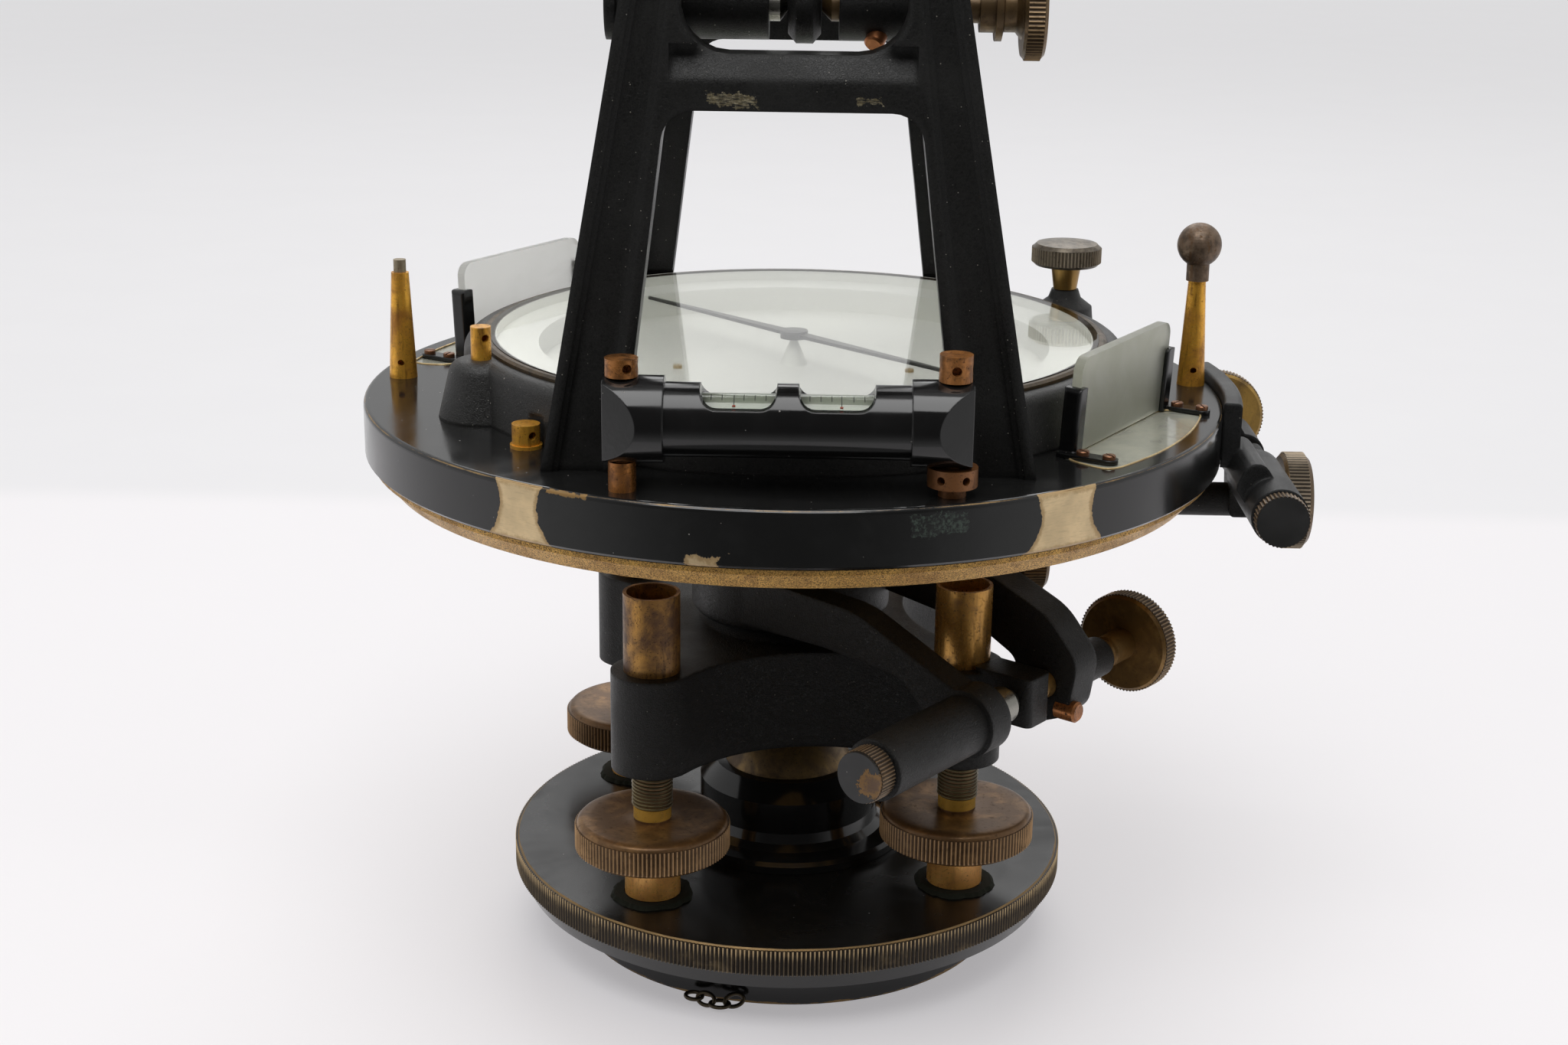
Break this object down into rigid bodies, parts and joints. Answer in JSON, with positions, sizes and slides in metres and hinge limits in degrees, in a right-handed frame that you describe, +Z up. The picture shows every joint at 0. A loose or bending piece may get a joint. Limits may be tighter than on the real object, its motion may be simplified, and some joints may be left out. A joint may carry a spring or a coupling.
{
  "type": "surveyors transit",
  "caption": "Surveyors transit: a telescope on two A-frame standards over a compass box, with graduated limb, clamps, tangent screws and a levelling head on a tripod plate.",
  "frame": {"origin": "on the vertical axis, at the bottom of the tripod thread's ring", "axes": "+Z up; +X along the telescope towards the eyepiece; -Y towards the plate level"},
  "size_m": [0.259, 0.1846, 0.3555],
  "materials": {
    "black_lacquer": "worn gloss black lacquer on brass",
    "black_crinkle": "satin crinkle black on cast brass",
    "aged_brass": "aged golden brass with dark speckle",
    "bronzed_brass": "brown bronzed brass",
    "silvered": "silvered ring",
    "steel": "dark steel",
    "clear_glass": "clear glass",
    "frosted_glass": "frosted pale green glass",
    "felt": "black felt"
  },
  "bodies": {
    "foot": {"foot_plate": "black_lacquer", "plumb_chain": "steel"},
    "centre": {"shifting_plate": "black_lacquer", "ball_socket": "black_lacquer", "levelling_shoes": "bronzed_brass", "shoe_felts": "felt"},
    "ball": {"half_ball": "aged_brass"},
    "head": {"levelling_head": "black_crinkle", "screw_caps": "aged_brass"},
    "screw_1": {"level_screw_1": "bronzed_brass"},
    "screw_2": {"level_screw_2": "bronzed_brass"},
    "screw_3": {"level_screw_3": "bronzed_brass"},
    "screw_4": {"level_screw_4": "bronzed_brass"},
    "limb": {"outer_centre": "aged_brass", "limb_circle": "aged_brass", "limb_scale": "silvered"},
    "fork": {"lower_clamp_fork": "black_crinkle", "lower_spring_cap": "black_lacquer"},
    "fork_clamp": {"lower_clamp_screw": "bronzed_brass"},
    "fork_tangent": {"lower_tangent_screw": "bronzed_brass"},
    "fork_plunger": {"lower_plunger": "steel"},
    "alidade": {"vernier_plate": "black_lacquer", "inner_centre": "aged_brass", "verniers": "silvered", "vernier_windows": "clear_glass", "reflector_glasses": "frosted_glass", "reflector_clips": "black_lacquer", "compass_box": "black_crinkle", "compass_dial": "silvered", "glass_ring": "black_crinkle", "compass_glass": "clear_glass", "standard_near": "black_crinkle", "standard_far": "black_crinkle", "bearing_caps": "black_crinkle", "plate_level": "black_lacquer", "plate_vial": "clear_glass", "level_studs": "aged_brass", "plate_posts": "aged_brass", "upper_tangent_bracket": "black_crinkle", "upper_spring_cap": "black_lacquer", "vertical_tangent_bracket": "black_crinkle"},
    "needle": {"compass_needle": "steel"},
    "lifter": {"needle_lifter": "bronzed_brass"},
    "upper_arm": {"upper_clamp_arm": "black_crinkle"},
    "upper_clamp": {"upper_clamp_screw": "bronzed_brass"},
    "upper_tangent": {"upper_tangent_screw": "bronzed_brass"},
    "upper_spring": {"upper_plunger": "steel"},
    "telescope": {"telescope_tube": "black_lacquer", "vertical_circle": "silvered", "telescope_level": "black_lacquer", "telescope_vial": "clear_glass"},
    "objective": {"objective_slide": "aged_brass", "objective_lens": "clear_glass"},
    "focus": {"focus_knob": "bronzed_brass"},
    "eyepiece": {"eyepiece_tube": "aged_brass"},
    "eye_ring": {"eyepiece_ring": "bronzed_brass"},
    "vertical_arm": {"vertical_clamp_arm": "black_crinkle"},
    "vertical_clamp": {"vertical_clamp_screw": "bronzed_brass"},
    "vertical_tangent": {"vertical_tangent_screw": "bronzed_brass"},
    "vertical_spring": {"vertical_plunger": "steel"}
  },
  "joints": [
    {"name": "shift", "type": "slide", "parent": "foot", "child": "centre", "axis": [1, 0, 0], "range_m": [-0.004, 0.004]},
    {"name": "tilt_a", "type": "hinge", "parent": "centre", "child": "ball", "pos_m": [0, 0, 0.0315], "axis": [0.6088, 0.7934, 0], "range_deg": [-2.5, 2.5]},
    {"name": "tilt_b", "type": "hinge", "parent": "ball", "child": "head", "pos_m": [0, 0, 0.0315], "axis": [0.7934, -0.6088, 0], "range_deg": [-2.5, 2.5]},
    {"name": "level_1", "type": "slide", "parent": "head", "child": "screw_1", "axis": [0, 0, 1], "range_m": [-0.0022, 0.0022]},
    {"name": "level_2", "type": "slide", "parent": "head", "child": "screw_2", "axis": [0, 0, 1], "range_m": [-0.0022, 0.0022]},
    {"name": "level_3", "type": "slide", "parent": "head", "child": "screw_3", "axis": [0, 0, 1], "range_m": [-0.0022, 0.0022]},
    {"name": "level_4", "type": "slide", "parent": "head", "child": "screw_4", "axis": [0, 0, 1], "range_m": [-0.0022, 0.0022]},
    {"name": "limb_turn", "type": "hinge", "parent": "head", "child": "limb", "pos_m": [0, 0, 0.1], "axis": [0, 0, 1], "continuous": true},
    {"name": "fork_swing", "type": "hinge", "parent": "head", "child": "fork", "pos_m": [0, 0, 0.086], "axis": [0, 0, 1], "range_deg": [-2.5, 2.5]},
    {"name": "lower_clamp", "type": "hinge", "parent": "fork", "child": "fork_clamp", "pos_m": [0.04981, 0.00436, 0.086], "axis": [0.9962, 0.0872, 0], "range_deg": [-180, 90]},
    {"name": "lower_tangent", "type": "slide", "parent": "fork", "child": "fork_tangent", "axis": [0.6088, 0.7934, 0], "range_m": [-0.0028, 0.0028]},
    {"name": "lower_spring", "type": "slide", "parent": "fork", "child": "fork_plunger", "axis": [0.6088, 0.7934, 0], "range_m": [-0.0028, 0.0028]},
    {"name": "alidade_turn", "type": "hinge", "parent": "limb", "child": "alidade", "pos_m": [0, 0, 0.12], "axis": [0, 0, 1], "continuous": true},
    {"name": "needle_swing", "type": "hinge", "parent": "alidade", "child": "needle", "pos_m": [0, 0, 0.134], "axis": [0, 0, 1], "continuous": true},
    {"name": "lifter_turn", "type": "hinge", "parent": "alidade", "child": "lifter", "pos_m": [0.0625, 0.0427, 0.14], "axis": [0, 0, 1], "range_deg": [0, 270]},
    {"name": "upper_swing", "type": "hinge", "parent": "alidade", "child": "upper_arm", "pos_m": [0, 0, 0.1], "axis": [0, 0, 1], "range_deg": [-1.8, 1.8]},
    {"name": "upper_clamp_turn", "type": "hinge", "parent": "upper_arm", "child": "upper_clamp", "pos_m": [0.11, 0, 0.1003], "axis": [1, 0, 0], "range_deg": [-180, 90]},
    {"name": "upper_tangent_slide", "type": "slide", "parent": "alidade", "child": "upper_tangent", "axis": [0, 1, 0], "range_m": [-0.0033, 0.0033]},
    {"name": "upper_spring_slide", "type": "slide", "parent": "alidade", "child": "upper_spring", "axis": [0, 1, 0], "range_m": [-0.0033, 0.0033]},
    {"name": "telescope_turn", "type": "hinge", "parent": "alidade", "child": "telescope", "pos_m": [0, 0, 0.292], "axis": [0, 1, 0], "continuous": true},
    {"name": "objective_slide", "type": "slide", "parent": "telescope", "child": "objective", "axis": [-1, 0, 0], "range_m": [0, 0.02]},
    {"name": "focus_turn", "type": "hinge", "parent": "telescope", "child": "focus", "pos_m": [-0.062, 0, 0.3102], "axis": [0, 1, 0], "range_deg": [0, 233]},
    {"name": "eye_ring_turn", "type": "hinge", "parent": "telescope", "child": "eye_ring", "pos_m": [0.11, 0, 0.292], "axis": [1, 0, 0], "range_deg": [-154, 154]},
    {"name": "eyepiece_slide", "type": "slide", "parent": "telescope", "child": "eyepiece", "axis": [1, 0, 0], "range_m": [-0.003, 0.003]},
    {"name": "vertical_swing", "type": "hinge", "parent": "alidade", "child": "vertical_arm", "pos_m": [0, -0.045, 0.292], "axis": [0, 1, 0], "range_deg": [-2, 2]},
    {"name": "vertical_clamp_turn", "type": "hinge", "parent": "vertical_arm", "child": "vertical_clamp", "pos_m": [0, -0.045, 0.31], "axis": [0, 0, 1], "range_deg": [-180, 90]},
    {"name": "vertical_tangent_slide", "type": "slide", "parent": "alidade", "child": "vertical_tangent", "axis": [1, 0, 0], "range_m": [-0.003, 0.003]},
    {"name": "vertical_spring_slide", "type": "slide", "parent": "alidade", "child": "vertical_spring", "axis": [1, 0, 0], "range_m": [-0.003, 0.003]}
  ],
  "couplings": [
    {"joint": "level_1", "follows": "tilt_a", "m_per_rad": 0.04665},
    {"joint": "level_3", "follows": "tilt_a", "m_per_rad": -0.04665},
    {"joint": "level_2", "follows": "tilt_b", "m_per_rad": -0.04665},
    {"joint": "level_4", "follows": "tilt_b", "m_per_rad": 0.04665},
    {"joint": "lower_tangent", "follows": "fork_swing", "m_per_rad": -0.062},
    {"joint": "lower_spring", "follows": "fork_swing", "m_per_rad": -0.062},
    {"joint": "upper_tangent_slide", "follows": "upper_swing", "m_per_rad": 0.1},
    {"joint": "upper_spring_slide", "follows": "upper_swing", "m_per_rad": 0.1},
    {"joint": "focus_turn", "follows": "objective_slide", "rad_per_m": 200},
    {"joint": "eye_ring_turn", "follows": "eyepiece_slide", "rad_per_m": 877.2},
    {"joint": "vertical_tangent_slide", "follows": "vertical_swing", "m_per_rad": -0.0825},
    {"joint": "vertical_spring_slide", "follows": "vertical_swing", "m_per_rad": -0.0825}
  ]
}
